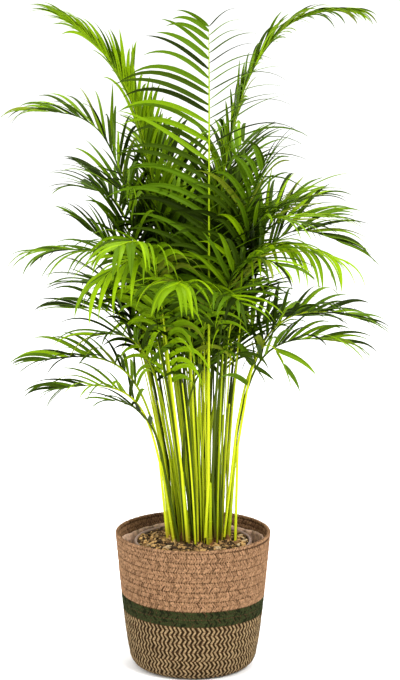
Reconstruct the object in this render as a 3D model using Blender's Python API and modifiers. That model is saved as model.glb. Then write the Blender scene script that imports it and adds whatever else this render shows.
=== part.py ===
"""Potted areca palm: a clump of canes with arching fronds, in a nursery pot inside a sewn rope basket.

Metres, +Z up. The origin is the centre of the basket's flat underside. +X is the plant's right
and -Y its front. Headings are in degrees: 0 is +X, 90 is the back, 180 the left and 270 the front.
"""

import math
from typing import NamedTuple

import bpy
import numpy as np
from mathutils.bvhtree import BVHTree

COLLECTION_NAME = "potted_areca_palm"
CLEARANCE = 0.0003

# Basket, sewn from coils of braided rope
BASKET_HEIGHT = 0.250
RIM_RADIUS = 0.140
CORNER_RADIUS_TOP = 0.1155
CORNER_HEIGHT = 0.030
FOOT_RADIUS = 0.090
WALL_BULGE = 0.75
WALL_THICKNESS = 0.006
FLOOR_THICKNESS = 0.007
BAND_BOTTOM = 0.105
BAND_TOP = 0.134
WALL_ROWS = 4
CORNER_ROWS = 4
ROUND_STEPS = 40

# Nursery pot and its soil
POT_TOP = 0.233
POT_TOP_RADIUS = 0.1065
POT_FOOT_RADIUS = 0.078
POT_THICKNESS = 0.002
SOIL_TOP = 0.228

# Canes, which stand on the soil in a sunflower spiral
CANE_COUNT = 14
CLUMP_CENTRE = (0.011, 0.0)
CLUMP_HALF_WIDTH = 0.054
CLUMP_HALF_DEPTH = 0.042
GOLDEN_ANGLE = 137.5
CANE_FLARE_RADIUS = 0.0078
CANE_FOOT_RADIUS = 0.0064
CANE_TOP_RADIUS = 0.0062
CANE_HEIGHTS = (0.155, 0.180, 0.120, 0.140)
CANE_FLARE_HEIGHT = 0.012
CANE_LEAN = 5.5
CLUMP_LEAN = -2.5
CANE_BEVEL_RESOLUTION = 2

# Fronds
STALK_RADIUS = 0.0026
TIP_RADIUS = 0.0009
TAPER_POWER = 1.5
STALK_SPREAD = 0.0034
STALK_LEAN = 3.0
STATIONS = 20
CURVE_SAMPLES = 200

# Outline of a frond's blade, as shares of the frond's length and half width
BLADE_START = 0.40
BLADE_OPENING = 0.16
BLADE_FULLNESS = 2.6
BLADE_POINT = 0.8
BLADE_DROOP = 0.20

# How crossing stalks are pushed apart, and crossing blades trimmed
RELAX_ROUNDS = 160
RELAX_GAP = 0.0015
RELAX_PUSH = 0.0001
RELAX_SPREAD = 1.3
TRIM_ROUNDS = 120
TRIM_GAP = 0.0003
TRIM_STEP = 0.86
TINY = 1e-5


class Frond(NamedTuple):
    """One frond: its cane, where its tip is, and how it gets there.

    The tip is at the given reach out from the cane's foot, along the heading, and at the given
    height. It leans that far from upright. The stalk climbs by the upright share of its rise
    before it bends over, and pull is how far back from the tip the bend is felt.
    """

    name: str
    cane: int
    heading: float
    reach: float
    height: float
    tip_lean: float
    upright: float = 0.60
    pull: float = 0.30
    half_width: float = 0.110
    roll: float = 0.0


FRONDS = (
    Frond("frond_top_left", 1, 182, 0.277, 1.200, 66, 0.64, 0.30, 0.085, 20),
    Frond("frond_top_centre", 10, 268, 0.100, 1.198, 14, 0.50, 0.30, 0.140),
    Frond("frond_top_right", 0, 8, 0.305, 1.177, 100, 0.85, 0.28, 0.085, -20),
    Frond("frond_high_left", 4, 176, 0.298, 1.008, 90, 1.00, 0.30, 0.100),
    Frond("frond_left_back", 6, 164, 0.235, 0.905, 66, 0.95, 0.30, 0.120),
    Frond("frond_left_upper", 4, 190, 0.225, 0.835, 66, 0.80, 0.30, 0.110),
    Frond("frond_left_arch", 1, 184, 0.325, 0.763, 90, 1.10, 0.60, 0.110),
    Frond("frond_left_front", 7, 222, 0.240, 0.725, 112, 1.30, 0.46, 0.120),
    Frond("frond_left_mid", 9, 178, 0.257, 0.655, 88, 1.15, 0.55, 0.110),
    Frond("frond_left_dark", 4, 210, 0.240, 0.622, 95, 1.10, 0.42, 0.100),
    Frond("frond_low_left", 12, 188, 0.281, 0.570, 96, 1.20, 0.50, 0.095),
    Frond("frond_low_left_front", 12, 200, 0.258, 0.530, 94, 1.10, 0.52, 0.085),
    Frond("frond_sucker_left", 12, 206, 0.145, 0.512, 82, 0.80, 0.34, 0.055),
    Frond("frond_right_upper_front", 5, 318, 0.135, 0.965, 32, 0.60, 0.30, 0.110),
    Frond("frond_right_upper_back", 8, 30, 0.245, 0.845, 86, 0.95, 0.38, 0.110),
    Frond("frond_right_upper", 8, 10, 0.252, 0.812, 92, 1.10, 0.42, 0.110),
    Frond("frond_right_arch", 8, 0, 0.272, 0.745, 116, 1.35, 0.40, 0.110),
    Frond("frond_right_front", 5, 335, 0.320, 0.742, 106, 1.35, 0.55, 0.115),
    Frond("frond_right_low", 13, 4, 0.305, 0.613, 110, 1.40, 0.52, 0.110),
    Frond("frond_low_right", 13, 352, 0.250, 0.598, 98, 1.15, 0.50, 0.095),
    Frond("frond_sucker_right", 13, 330, 0.130, 0.534, 158, 2.10, 0.50, 0.060),
    Frond("frond_front_arch", 7, 340, 0.138, 0.542, 165, 1.60, 0.32, 0.060),
)

# The rest of the crown, in tiers: prefix, canes, first heading, heading step,
# reach, height, height step, tip lean, upright, pull, half width
TIERS = (
    ("frond_back_low", (3, 11, 11, 9), 40, 32, 0.300, 0.600, 0.020, 100, 1.15, 0.50, 0.110),
    ("frond_back_mid", (3, 11, 6, 9), 58, 26, 0.300, 0.800, 0.015, 92, 1.00, 0.44, 0.110),
    ("frond_back_high", (3, 6), 68, 46, 0.240, 0.955, 0.010, 74, 0.80, 0.32, 0.110),
    ("frond_front_left", (7, 2), 238, 20, 0.270, 0.800, -0.070, 98, 1.05, 0.38, 0.110),
    ("frond_front_right", (2, 10, 5), 290, 18, 0.250, 0.700, 0.060, 100, 1.10, 0.42, 0.105),
    ("frond_inner", (0, 2, 1, 0), 40, 95, 0.145, 0.930, -0.020, 52, 0.80, 0.30, 0.095),
)
REACH_WAVE = 0.06
REACH_WAVE_STEP = 2.4

# Materials: base colour, roughness
FINISHES = {
    "rope_brown": ((0.45, 0.27, 0.15), 0.9),
    "rope_green": ((0.055, 0.080, 0.035), 0.9),
    "rope_zigzag": ((0.26, 0.19, 0.10), 0.9),
    "pot": ((0.36, 0.24, 0.19), 0.5),
    "soil": ((0.10, 0.06, 0.03), 1.0),
    "cane": ((0.50, 0.58, 0.04), 0.5),
    "frond": ((0.12, 0.26, 0.02), 0.5),
}


def clear_scene():
    for item in list(bpy.data.objects):
        bpy.data.objects.remove(item, do_unlink=True)


def make_collection():
    collection = bpy.data.collections.new(COLLECTION_NAME)
    bpy.context.scene.collection.children.link(collection)
    return collection


def make_material(name):
    colour, roughness = FINISHES[name]
    material = bpy.data.materials.new(name)
    material.use_nodes = True
    shader = material.node_tree.nodes["Principled BSDF"]
    shader.inputs["Base Color"].default_value = (*colour, 1.0)
    shader.inputs["Roughness"].default_value = roughness
    shader.inputs["Metallic"].default_value = 0.0
    return material


def basket_radius(height):
    """Outer radius of the basket wall at this height."""
    if height >= CORNER_HEIGHT:
        share = (height - CORNER_HEIGHT) / (BASKET_HEIGHT - CORNER_HEIGHT)
        return CORNER_RADIUS_TOP + (RIM_RADIUS - CORNER_RADIUS_TOP) * share**WALL_BULGE
    turn = math.acos(1 - height / CORNER_HEIGHT)
    return FOOT_RADIUS + (CORNER_RADIUS_TOP - FOOT_RADIUS) * math.sin(turn)


def add_turned(collection, name, profile, closed, material):
    """A solid of revolution. The profile runs down its outer side, as (radius, height) points."""
    mesh = bpy.data.meshes.new(name)
    points = [(radius, 0.0, height) for radius, height in profile]
    edges = [(i, i + 1) for i in range(len(points) - 1)]
    if closed:
        edges.append((len(points) - 1, 0))
    mesh.from_pydata(points, edges, [])
    solid = bpy.data.objects.new(name, mesh)
    collection.objects.link(solid)
    screw = solid.modifiers.new("turn", "SCREW")
    screw.steps = ROUND_STEPS
    screw.render_steps = ROUND_STEPS
    screw.use_merge_vertices = True
    screw.merge_threshold = 0.00001
    mesh.materials.append(material)


def wall_profile(bottom, top):
    """A closed ring section of the basket wall between two heights."""
    rows = max(2, round(WALL_ROWS * (top - bottom) / (BASKET_HEIGHT - BAND_TOP)))
    heights = np.linspace(top, bottom, rows)
    outer = [(basket_radius(z), z) for z in heights]
    inner = [(basket_radius(z) - WALL_THICKNESS, z) for z in heights[::-1]]
    return outer + inner


def bowl_profile(top):
    """The basket's lower wall and floor, from the floor's inner centre round to its underside."""
    corner = CORNER_HEIGHT * (1 - np.cos(np.linspace(0, math.pi / 2, CORNER_ROWS)))
    rising = list(np.linspace(CORNER_HEIGHT, top, WALL_ROWS))[1:]
    inner = [(0.0, FLOOR_THICKNESS)]
    for z in [z for z in corner if z > FLOOR_THICKNESS] + rising:
        inner.append((basket_radius(z) - WALL_THICKNESS, z))
    inner.insert(1, (FOOT_RADIUS - WALL_THICKNESS, FLOOR_THICKNESS))
    outer = [(basket_radius(z), z) for z in rising[::-1] + list(corner[::-1])]
    return inner + outer + [(0.0, 0.0)]


def pot_profile():
    """The nursery pot: a plain tapered cup that stands on the basket's floor."""
    foot = FLOOR_THICKNESS + CLEARANCE
    floor = foot + POT_THICKNESS
    return [
        (0.0, floor),
        (POT_FOOT_RADIUS - POT_THICKNESS, floor),
        (POT_TOP_RADIUS - POT_THICKNESS, POT_TOP),
        (POT_TOP_RADIUS, POT_TOP),
        (POT_FOOT_RADIUS, foot),
        (0.0, foot),
    ]


def soil_profile():
    """The root ball: it fills the pot to just under its lip."""
    foot = FLOOR_THICKNESS + POT_THICKNESS + 2 * CLEARANCE
    pot_floor = foot - CLEARANCE
    inner_foot = POT_FOOT_RADIUS - POT_THICKNESS
    inner_top = POT_TOP_RADIUS - POT_THICKNESS
    rise = (SOIL_TOP - pot_floor) / (POT_TOP - pot_floor)
    edge = inner_foot + (inner_top - inner_foot) * rise - 2 * CLEARANCE
    return [(0.0, SOIL_TOP), (edge, SOIL_TOP), (inner_foot - 2 * CLEARANCE, foot), (0.0, foot)]


def cane_foot(index):
    """Where a cane stands on the soil."""
    reach = math.sqrt((index + 0.5) / CANE_COUNT)
    turn = math.radians(GOLDEN_ANGLE * index)
    x = CLUMP_CENTRE[0] + CLUMP_HALF_WIDTH * reach * math.cos(turn)
    y = CLUMP_CENTRE[1] + CLUMP_HALF_DEPTH * reach * math.sin(turn)
    return np.array((x, y, SOIL_TOP + CLEARANCE))


def cane_direction(index):
    """The canes lean outwards, the outer ones more, and the whole clump leans a little left."""
    away = cane_foot(index)[:2] - np.array(CLUMP_CENTRE)
    tilt = math.tan(math.radians(CANE_LEAN)) / CLUMP_HALF_DEPTH
    aside = math.tan(math.radians(CLUMP_LEAN))
    direction = np.array((away[0] * tilt + aside, away[1] * tilt, 1.0))
    return direction / np.linalg.norm(direction)


def cane_top(index):
    height = CANE_HEIGHTS[index % len(CANE_HEIGHTS)]
    direction = cane_direction(index)
    return cane_foot(index) + direction * height / direction[2]


def add_cane(collection, index, material):
    """A cane: a tapered tube with a small upright flare at its foot."""
    name = f"cane_{index + 1:02d}"
    curve = bpy.data.curves.new(name, "CURVE")
    curve.dimensions = "3D"
    curve.bevel_depth = 1.0
    curve.bevel_resolution = CANE_BEVEL_RESOLUTION
    curve.use_fill_caps = True
    foot = cane_foot(index)
    stops = (
        (foot, CANE_FLARE_RADIUS),
        (foot + np.array((0.0, 0.0, CANE_FLARE_HEIGHT)), CANE_FOOT_RADIUS),
        (cane_top(index), CANE_TOP_RADIUS),
    )
    spline = curve.splines.new("POLY")
    spline.points.add(len(stops) - 1)
    for point, (place, radius) in zip(spline.points, stops):
        point.co = (*place, 1.0)
        point.radius = radius
    solid = bpy.data.objects.new(name, curve)
    collection.objects.link(solid)
    curve.materials.append(material)


def all_fronds():
    """The named fronds, then the tiers that fill the crown."""
    fronds = list(FRONDS)
    for prefix, canes, first, turn, reach, height, rise, *shape in TIERS:
        for place, cane in enumerate(canes):
            wave = 1 + REACH_WAVE * math.sin(REACH_WAVE_STEP * place + cane)
            name = f"{prefix}_{place + 1}"
            heading = first + turn * place
            tip = height + rise * place
            fronds.append(Frond(name, cane, heading, reach * wave, tip, *shape))
    return fronds


def stalk_feet(fronds):
    """Each frond's foot on top of its cane. The stalks of one cane stand round its middle."""
    feet = []
    for index in range(CANE_COUNT):
        sharing = [i for i, frond in enumerate(fronds) if frond.cane == index]
        sharing.sort(key=lambda i: fronds[i].heading)
        turns = np.array([math.radians(fronds[i].heading) for i in sharing])
        middle = math.atan2(np.sin(turns).mean(), np.cos(turns).mean())
        for place, i in enumerate(sharing):
            spread = 2 * math.pi * (place - (len(sharing) - 1) / 2) / max(len(sharing), 2)
            reach = STALK_SPREAD if len(sharing) > 1 else 0.0
            up = cane_direction(index)
            aside = np.array((math.cos(middle + spread), math.sin(middle + spread), 0.0))
            aside -= up * (aside @ up)
            feet.append((i, cane_top(index) + aside * reach + up * 2 * CLEARANCE))
    return [foot for _, foot in sorted(feet, key=lambda pair: pair[0])]


def lean_direction(lean, heading):
    lean, heading = math.radians(lean), math.radians(heading)
    return np.array(
        (
            math.sin(lean) * math.cos(heading),
            math.sin(lean) * math.sin(heading),
            math.cos(lean),
        )
    )


def grow(frond, foot):
    """The frond's centre line: a Bezier curve up along the cane and over to the tip."""
    heading = math.radians(frond.heading)
    outward = np.array((math.cos(heading), math.sin(heading), 0.0))
    tip = cane_foot(frond.cane) + outward * frond.reach
    tip[2] = frond.height
    start = cane_direction(frond.cane) + outward * math.tan(math.radians(STALK_LEAN))
    rise = tip[2] - foot[2]
    chord = np.linalg.norm(tip - foot)
    climb = foot + start * frond.upright * rise
    back = tip - lean_direction(frond.tip_lean, frond.heading) * frond.pull * chord
    t = np.linspace(0, 1, CURVE_SAMPLES)[:, None]
    fine = (
        foot * (1 - t) ** 3
        + climb * 3 * t * (1 - t) ** 2
        + back * 3 * t**2 * (1 - t)
        + tip * t**3
    )
    run = np.concatenate(([0.0], np.linalg.norm(np.diff(fine, axis=0), axis=1).cumsum()))
    places = np.linspace(0, run[-1], STATIONS)
    return np.stack([np.interp(places, run, fine[:, axis]) for axis in range(3)], axis=1)


def stalk_radius(share):
    return STALK_RADIUS + (TIP_RADIUS - STALK_RADIUS) * share**TAPER_POWER


def closest(a0, a1, b0, b1):
    """Nearest points of many pairs of segments: places along each, and the vector between them."""
    u, v, w = a1 - a0, b1 - b0, a0 - b0
    a, b, c = (u * u).sum(-1), (u * v).sum(-1), (v * v).sum(-1)
    d, e = (u * w).sum(-1), (v * w).sum(-1)
    cross = np.maximum(a * c - b * b, 1e-12)
    s = np.clip((b * e - c * d) / cross, 0, 1)
    t = np.clip((b * s + e) / c, 0, 1)
    s = np.clip((b * t - d) / a, 0, 1)
    return s, t, w + s[..., None] * u - t[..., None] * v


def relax(fronds, lines):
    """Pushes stalks and ribs clear of each other and of the canes. Feet and canes stay put."""
    canes = [np.linspace(cane_foot(i), cane_top(i), STATIONS) for i in range(CANE_COUNT)]
    lines = np.concatenate((lines, canes))
    line_cane = np.array([frond.cane for frond in fronds] + list(range(CANE_COUNT)))
    owner = np.repeat(np.arange(len(lines)), STATIONS - 1)
    place = np.tile(np.arange(STATIONS - 1), len(lines))
    radii = stalk_radius(place / (STATIONS - 1))
    radii[owner >= len(fronds)] = CANE_TOP_RADIUS
    first, second = np.triu_indices(len(owner), 1)
    same_foot = (line_cane[owner[first]] == line_cane[owner[second]]) & (place[first] == 0)
    paired = (owner[first] != owner[second]) & (owner[first] < len(fronds)) & ~same_foot
    first, second = first[paired], second[paired]
    wanted = radii[first] + radii[second] + RELAX_GAP
    along = np.arange(STATIONS)
    for _ in range(RELAX_ROUNDS):
        starts, ends = lines[:, :-1].reshape(-1, 3), lines[:, 1:].reshape(-1, 3)
        longest = np.linalg.norm(ends - starts, axis=1).max()
        near = np.linalg.norm(starts[first] - starts[second], axis=1) < 2 * longest + wanted.max()
        i, j = first[near], second[near]
        s, t, between = closest(starts[i], ends[i], starts[j], ends[j])
        gap = np.linalg.norm(between, axis=1)
        lack = wanted[near] - gap
        if lack.max() <= 0:
            break
        shift = np.zeros_like(lines)
        for k in np.flatnonzero(lack > 0):
            away = between[k] if gap[k] > TINY else np.cross(ends[i[k]] - starts[i[k]], (0, 0, 1))
            push = (lack[k] / 2 + RELAX_PUSH) * away / np.linalg.norm(away)
            for segment, share, sign in ((i[k], s[k], 1), (j[k], t[k], -1)):
                fall = np.exp(-(((along - place[segment] - share) / RELAX_SPREAD) ** 2))
                moved = sign * fall[:, None] * push
                row = shift[owner[segment]]
                stronger = np.linalg.norm(moved, axis=1) > np.linalg.norm(row, axis=1)
                row[stronger] = moved[stronger]
        shift[:, 0] = 0
        shift[len(fronds) :] = 0
        lines = lines + shift
    return lines[: len(fronds)]


def blade_outline(share):
    """Share of the full half width at a station: none on the stalk, then a long leaf outline."""
    u = np.clip((share - BLADE_START) / (1 - BLADE_START), 0, 1)
    return np.clip(u / BLADE_OPENING, 0, 1) * (1 - u**BLADE_FULLNESS) ** BLADE_POINT


def side_vectors(line, roll):
    """Unit vectors across and above the line at each station."""
    along = np.gradient(line, axis=0)
    along /= np.linalg.norm(along, axis=1)[:, None]
    outward = line[-1] - line[0]
    flat = np.array((-outward[1], outward[0], 0.0))
    across = flat - (along @ flat)[:, None] * along
    across /= np.linalg.norm(across, axis=1)[:, None]
    above = np.cross(along, across)
    turn = math.radians(roll)
    return (
        across * math.cos(turn) + above * math.sin(turn),
        above * math.cos(turn) - across * math.sin(turn),
    )


def blade_sections(line, widths, roll, extra):
    """Four points a station: left edge, top of the rib, right edge, underside of the rib."""
    across, above = side_vectors(line, roll)
    share = np.linspace(0, 1, len(line))
    radius = stalk_radius(share)[:, None] + extra
    left, right = widths[:, :1] + extra, widths[:, 1:] + extra
    return np.stack(
        (
            line + across * left - above * (left - radius).clip(0) * BLADE_DROOP,
            line + above * radius,
            line - across * right - above * (right - radius).clip(0) * BLADE_DROOP,
            line - above * radius,
        ),
        axis=1,
    )


def blade_faces():
    """Triangles of a loft through all the stations' four-sided sections, with both ends closed."""
    faces = [(0, 2, 1), (0, 3, 2)]
    for station in range(STATIONS - 1):
        low, high = 4 * station, 4 * station + 4
        for corner in range(4):
            after = (corner + 1) % 4
            faces.append((low + corner, low + after, high + after))
            faces.append((low + corner, high + after, high + corner))
    last = 4 * (STATIONS - 1)
    return faces + [(last, last + 1, last + 2), (last, last + 2, last + 3)]


def face_place(face):
    """The station and the side of the blade, 0 left or 1 right, that a side triangle is on."""
    station, corner = divmod((face - 2) // 2, 4)
    return min(max(station, 0), STATIONS - 2), (0, 1, 1, 0)[corner]


def trim(fronds, lines):
    """Narrows each blade, side by side and station by station, until no two of them meet."""
    share = np.linspace(0, 1, STATIONS)
    radius = stalk_radius(share)
    widths = np.empty((len(lines), STATIONS, 2))
    for i, frond in enumerate(fronds):
        widths[i] = np.maximum(frond.half_width * blade_outline(share), radius)[:, None]
    faces = blade_faces()
    all_faces = [
        tuple(4 * STATIONS * i + corner for corner in face)
        for i in range(len(fronds))
        for face in faces
    ]
    for _ in range(TRIM_ROUNDS):
        points = []
        for line, width, frond in zip(lines, widths, fronds):
            sections = blade_sections(line, width, frond.roll, TRIM_GAP)
            points.extend(map(tuple, sections.reshape(-1, 3)))
        tree = BVHTree.FromPolygons(points, all_faces, all_triangles=True)
        narrowed = set()
        for pair in tree.overlap(tree):
            found = []
            for face in pair:
                owner, local = divmod(face, len(faces))
                station, side = face_place(local)
                spare = widths[owner, station : station + 2, side].max() - radius[station]
                found.append((spare, owner, station, side))
            if found[0][1] != found[1][1] and max(found)[0] > TINY:
                narrowed.add(max(found)[1:])
        if not narrowed:
            break
        for owner, station, side in narrowed:
            for k in (station, station + 1):
                widths[owner, k, side] = max(widths[owner, k, side] * TRIM_STEP, radius[k])
    return widths


def add_frond(collection, frond, line, widths, material):
    """A frond: its stalk and blade as one loft of four-sided sections."""
    sections = blade_sections(line, widths, frond.roll, 0.0)
    mesh = bpy.data.meshes.new(frond.name)
    mesh.from_pydata(sections.reshape(-1, 3).tolist(), [], blade_faces())
    solid = bpy.data.objects.new(frond.name, mesh)
    collection.objects.link(solid)
    mesh.materials.append(material)


def add_basket(collection):
    """The basket in its three colour bands, one above the other."""
    lower = bowl_profile(BAND_BOTTOM - CLEARANCE)
    band = wall_profile(BAND_BOTTOM, BAND_TOP - CLEARANCE)
    upper = wall_profile(BAND_TOP, BASKET_HEIGHT)
    add_turned(collection, "basket_lower", lower, False, make_material("rope_zigzag"))
    add_turned(collection, "basket_band", band, True, make_material("rope_green"))
    add_turned(collection, "basket_upper", upper, True, make_material("rope_brown"))


def main():
    clear_scene()
    collection = make_collection()
    add_basket(collection)
    add_turned(collection, "nursery_pot", pot_profile(), False, make_material("pot"))
    add_turned(collection, "soil", soil_profile(), False, make_material("soil"))
    cane_material = make_material("cane")
    for index in range(CANE_COUNT):
        add_cane(collection, index, cane_material)
    fronds = all_fronds()
    feet = stalk_feet(fronds)
    lines = relax(fronds, np.array([grow(frond, foot) for frond, foot in zip(fronds, feet)]))
    widths = trim(fronds, lines)
    frond_material = make_material("frond")
    for frond, line, width in zip(fronds, lines, widths):
        add_frond(collection, frond, line, width, frond_material)


main()
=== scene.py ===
"""Potted areca palm: the looks of its braided basket, pot, canes, ribs and leaflets.

Metres, +Z up. +X is the plant's right and -Y its front, where the camera stands. Headings are in
degrees: 0 is +X, 90 is the back, 180 the left and 270 the front.
"""

import math
from typing import NamedTuple

import bpy
import numpy as np
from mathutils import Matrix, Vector

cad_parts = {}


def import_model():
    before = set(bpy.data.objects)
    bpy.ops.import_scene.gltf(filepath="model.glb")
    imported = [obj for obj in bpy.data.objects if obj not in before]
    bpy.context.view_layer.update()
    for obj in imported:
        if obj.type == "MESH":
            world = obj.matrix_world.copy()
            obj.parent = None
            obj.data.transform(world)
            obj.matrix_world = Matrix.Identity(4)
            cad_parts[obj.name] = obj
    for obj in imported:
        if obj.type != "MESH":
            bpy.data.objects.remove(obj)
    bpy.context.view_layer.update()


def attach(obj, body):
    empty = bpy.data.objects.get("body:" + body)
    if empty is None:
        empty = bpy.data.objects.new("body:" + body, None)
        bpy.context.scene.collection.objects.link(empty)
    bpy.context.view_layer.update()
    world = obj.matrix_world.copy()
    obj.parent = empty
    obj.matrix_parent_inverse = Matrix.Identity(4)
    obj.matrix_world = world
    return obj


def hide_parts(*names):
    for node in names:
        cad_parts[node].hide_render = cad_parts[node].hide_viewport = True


BODY = "root"
CLEARANCE = 0.0003
DOWN = np.array((0.0, 0.0, -1.0))
FRONT = 270.0
FULL_TURN = 2 * math.pi

# Camera: place, downward pitch, and lens for a 36 mm sensor on the picture's long side
CAMERA_PLACE = (0.0126, -5.0, 1.646)
CAMERA_PITCH = 11.82
CAMERA_LENS = 152.2
SENSOR_SIZE = 36.0
VIEW_RANGE = 60.0

# Stage: the floor's colour, roughness and specular level, and each lamp's name, place, width
# and watts
FLOOR_SIZE = 60.0
FLOOR_PAINT = ((0.99, 0.99, 0.99), 0.9, 0.1)
WHITE = (1.0, 1.0, 1.0)
WORLD_LIGHT = 1.0
LAMP_TARGET = (0.0, 0.0, 0.6)
LAMPS = (
    ("key", (1.8, -2.6, 2.6), 1.4, 90.0),
    ("fill", (-2.4, -2.0, 1.6), 1.8, 40.0),
    ("top", (0.2, 0.6, 3.0), 1.6, 60.0),
)


class Grain(NamedTuple):
    """A mottled finish: linear colour, noise scale, roughness, and how strong the grain is.

    Contrast is the share by which the colour varies, and relief the height of the bump.
    """

    colour: tuple
    scale: float
    roughness: float
    contrast: float = 0.35
    bump: float = 0.5
    relief: float = 0.0004
    specular: float = 0.3


# Backing under the braid: its dark colour is painted shade in the gaps between the strands
SEAM_SHADE = Grain((0.075, 0.042, 0.022), 500, 0.95, specular=0.05)
FILM = Grain((0.620, 0.430, 0.320), 90, 0.50, 0.55, 0.3, 0.001, 0.15)
TAUPE_PLASTIC = Grain((0.260, 0.175, 0.130), 120, 0.45, 0.15, 0.1)
SOIL = Grain((0.120, 0.074, 0.034), 260, 1.00, 0.60, 1.0, 0.002, 0.2)
BROWN_SHEATH = Grain((0.230, 0.115, 0.040), 180, 0.80, relief=0.0005)
TAN_SHEATH = Grain((0.460, 0.330, 0.130), 180, 0.80, relief=0.0005)
# Where the dark, plain and light colours of a grain lie along its noise
GRAIN_STOPS = (0.30, 0.50, 0.72)
NOISE_DETAIL = 4.0

# Basket, sewn from one long coil of braided rope
BASKET_HEIGHT = 0.250
RIM_RADIUS = 0.140
CORNER_RADIUS_TOP = 0.1155
CORNER_HEIGHT = 0.030
FOOT_RADIUS = 0.090
WALL_BULGE = 0.75
WALL_THICKNESS = 0.006
FLOOR_THICKNESS = 0.007
BAND_BOTTOM = 0.105
BAND_TOP = 0.134
LOWER_ROW = 0.0166
UPPER_ROW = 0.0184
RIM_ROW_BOTTOM = 0.2435
RELIEF = 0.0018
BACKING_DEPTH = 0.0013
BRAID_PAIRS = 92
MIN_PAIRS = 6
NARROWEST_ROW = 0.004
BAND_ROWS = 2
INSIDE_ROWS = 2
BRAID_LEAN = 0.0064
STRAND_WIDTH = 0.0046
STRAND_TAPER = 0.30
STRAND_ROWS = 6
STRAND_ROUGHNESS = 0.90
STRAND_SPECULAR = 0.1
STRAND_ACROSS = (-1.0, -0.6, 0.0, 0.6, 1.0)
STRAND_DOME = ((0.0, 0.2, 0.55, 0.85, 1.0), (0.62, 0.92, 1.0, 0.76, 0.10))
LEAN_DRIFT = 0.14
WIDTH_DRIFT = 0.13
HEIGHT_DRIFT = 0.12
PLACE_DRIFT = 0.0005
BASKET_SEED = 11
BACKING_STRIDE = 4
PROFILE_STEP = 0.0006
CORNER_SAMPLES = 40
WALL_SAMPLES = 80
RIM_SAMPLES = 16
ROUND_STEPS = 160

# The basket's bands from the bottom up: their slot, and their grain's scale and contrast
BANDS = {
    "basket_lower": ("rope_zigzag", 420, 0.45),
    "basket_band": ("rope_green", 420, 0.60),
    "basket_upper": ("rope_brown", 300, 0.50),
}
# Strand colours, with their band and the part of a draw from 0 to 1 that picks each one.
# The zigzag rows draw 0 and 0.5 by turns
STRANDS = {
    "straw": ("basket_lower", 0.0, 0.5, (0.272, 0.195, 0.108)),
    "umber": ("basket_lower", 0.5, 1.0, (0.030, 0.018, 0.007)),
    "green": ("basket_band", 0.0, 0.72, (0.032, 0.039, 0.014)),
    "black_green": ("basket_band", 0.72, 1.0, (0.014, 0.017, 0.006)),
    "jute": ("basket_upper", 0.0, 0.52, (0.267, 0.159, 0.090)),
    "dull_jute": ("basket_upper", 0.52, 0.93, (0.225, 0.132, 0.073)),
    "brown_jute": ("basket_upper", 0.93, 1.0, (0.170, 0.098, 0.053)),
}

# Plastic lining. Waves are how many add up, and the range of their number round the basket
LINING_TOP = 0.229
LINING_BOTTOM = 0.120
LINING_EDGE_WAVE = 0.0022
LINING_EDGE_WAVES = (6, 2, 13)
LINING_GAP = 0.0012
LINING_CREASE = 0.0012
LINING_CREASES = (14, 7, 46)
LINING_FILM = 0.0004
LINING_STEPS = 240
LINING_ROWS = 24
LINING_SEED = 5
RIPPLE_SLOPE = 90.0

# Nursery pot, its rolled lip, and the step under the lip
POT_TOP = 0.233
POT_TOP_RADIUS = 0.1065
POT_FOOT_RADIUS = 0.078
POT_FOOT_BEVEL = 0.004
POT_THICKNESS = 0.002
POT_LIP = 0.006
POT_LIP_POINTS = 10
POT_STEP_HEIGHT = 0.012
POT_STEP_DEPTH = 0.0008
POT_CREASE = 40.0

# Soil: a mound with bumps, each a wavelength and a height, and chips strewn over it
SOIL_TOP = 0.228
SOIL_SINK = 0.001
SOIL_MOUND = 0.004
SOIL_BUMPS = ((0.060, 0.0006), (0.022, 0.0005), (0.009, 0.0004))
WAVES_PER_BUMP = 5
SOIL_RINGS = 60
SOIL_SHOULDER = (0.003, 0.03)
SOIL_SEED = 21
CHIP_COUNT = 2600
CHIPS = {
    "dark": (0.36, (0.048, 0.030, 0.014)),
    "bark": (0.28, (0.210, 0.125, 0.052)),
    "tan": (0.31, (0.480, 0.305, 0.125)),
    "pale": (0.05, (0.560, 0.420, 0.250)),
}
CHIP_GRAIN = (500, 0.95, 0.40)
CHIP_CORNERS = 8
CHIP_MARGIN = 0.004
CHIP_RISE = 0.0026
CHIP_LENGTHS = (0.0035, 0.0085)
CHIP_STRETCHES = (1, 1, 1.8)
CHIP_WIDTHS = (0.3, 0.8)
CHIP_HEIGHTS = (0.15, 0.4)
CHIP_UNEVEN = (0.45, 1.1)
CHIP_TIP = 0.35
CHIP_SEED = 22
LONG_CHIP_PLACE = (0.082, 0.02, 0.2315)
LONG_CHIP_SIZE = (0.016, 0.006, 0.003)
CHIP_FACES = np.array(
    ((0, 1, 3, 2), (4, 6, 7, 5), (0, 4, 5, 1), (2, 3, 7, 6), (0, 2, 6, 4), (1, 5, 7, 3))
)

# Canes, which stand on the soil in a sunflower spiral
CANE_COUNT = 14
CLUMP_CENTRE = (0.011, 0.0)
CLUMP_HALF_WIDTH = 0.054
CLUMP_HALF_DEPTH = 0.042
GOLDEN_ANGLE = 137.5
CANE_TOP_RADIUS = 0.0062
CANE_HEIGHTS = (0.155, 0.180, 0.120, 0.140)
CANE_LEAN = 5.5
CLUMP_LEAN = -2.5
CANE_SIDES = 16
CANE_SECTIONS = 24
CANE_SINK = 0.006
CANE_TIP = 0.002
CANE_SEED = 31
# Heights as shares of the cane's, and its core's radius there
CANE_CORE = ((0.0, 0.07, 0.45, 0.90, 1.0), (0.0052, 0.0040, 0.0031, 0.0027, 0.0024))
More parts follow.
